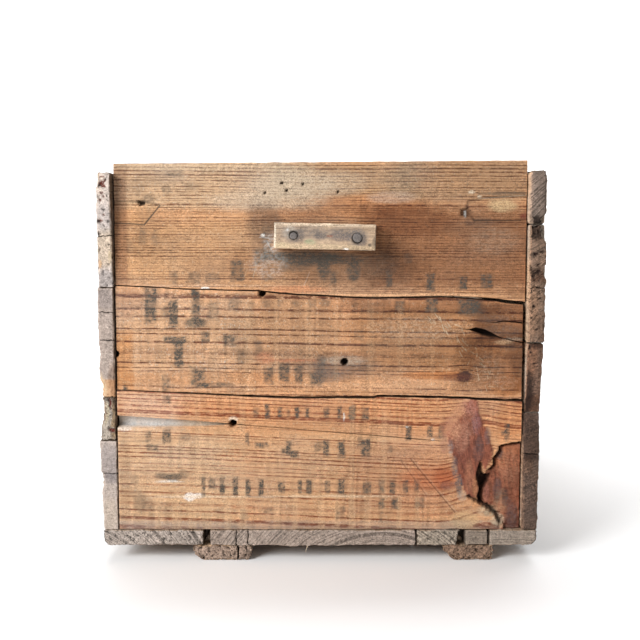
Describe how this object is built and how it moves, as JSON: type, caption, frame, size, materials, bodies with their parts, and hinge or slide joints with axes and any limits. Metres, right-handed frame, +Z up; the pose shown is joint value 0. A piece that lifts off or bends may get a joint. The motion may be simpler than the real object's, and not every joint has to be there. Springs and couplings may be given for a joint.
{
  "type": "wooden apple crate",
  "caption": "Open-topped nailed wooden field crate with planked ends, slatted sides and bottom, runners underneath and a grip cleat on each end, for carrying and stacking apples.",
  "frame": {"origin": "on the floor, under the middle of the crate", "axes": "+X to the right seen from the front end, +Y from the front end to the back end, +Z up"},
  "size_m": [0.386, 0.5106, 0.3508],
  "materials": {
    "end_wood": "weathered warm orange-tan softwood with dark latewood lines, matt",
    "side_wood": "weathered grey-brown softwood, matt",
    "bottom_wood": "dusty tan softwood, matt",
    "runner_wood": "rough dusty softwood, matt",
    "handle_wood": "pale tan softwood, hand-worn, matt",
    "cleat_wood": "planed softwood, darkened inside the crate",
    "nail_steel": "rusted wire nail"
  },
  "bodies": {
    "root": {"back_end_board_bottom": "end_wood", "back_end_board_middle": "end_wood", "back_end_board_top": "end_wood", "back_handle": "handle_wood", "bottom_board_1": "bottom_wood", "bottom_board_2": "bottom_wood", "bottom_board_3": "bottom_wood", "bottom_board_4": "bottom_wood", "bottom_board_5": "bottom_wood", "corner_cleat_back_left": "cleat_wood", "corner_cleat_back_right": "cleat_wood", "corner_cleat_front_left": "cleat_wood", "corner_cleat_front_right": "cleat_wood", "front_end_board_bottom": "end_wood", "front_end_board_middle": "end_wood", "front_end_board_top": "end_wood", "front_handle": "handle_wood", "handle_nail_back_left": "nail_steel", "handle_nail_back_right": "nail_steel", "handle_nail_front_left": "nail_steel", "handle_nail_front_right": "nail_steel", "left_runner": "runner_wood", "left_side_board_1": "side_wood", "left_side_board_2": "side_wood", "left_side_board_3": "side_wood", "left_side_board_4": "side_wood", "right_runner": "runner_wood", "right_side_board_1": "side_wood", "right_side_board_2": "side_wood", "right_side_board_3": "side_wood", "right_side_board_4": "side_wood", "side_nail_back_left_1": "nail_steel", "side_nail_back_left_2": "nail_steel", "side_nail_back_left_3": "nail_steel", "side_nail_back_left_4": "nail_steel", "side_nail_back_left_5": "nail_steel", "side_nail_back_left_6": "nail_steel", "side_nail_back_left_7": "nail_steel", "side_nail_back_right_1": "nail_steel", "side_nail_back_right_2": "nail_steel", "side_nail_back_right_3": "nail_steel", "side_nail_back_right_4": "nail_steel", "side_nail_back_right_5": "nail_steel", "side_nail_back_right_6": "nail_steel", "side_nail_back_right_7": "nail_steel", "side_nail_front_left_1": "nail_steel", "side_nail_front_left_2": "nail_steel", "side_nail_front_left_3": "nail_steel", "side_nail_front_left_4": "nail_steel", "side_nail_front_left_5": "nail_steel", "side_nail_front_left_6": "nail_steel", "side_nail_front_left_7": "nail_steel", "side_nail_front_right_1": "nail_steel", "side_nail_front_right_2": "nail_steel", "side_nail_front_right_3": "nail_steel", "side_nail_front_right_4": "nail_steel", "side_nail_front_right_5": "nail_steel", "side_nail_front_right_6": "nail_steel", "side_nail_front_right_7": "nail_steel"}
  },
  "joints": []
}
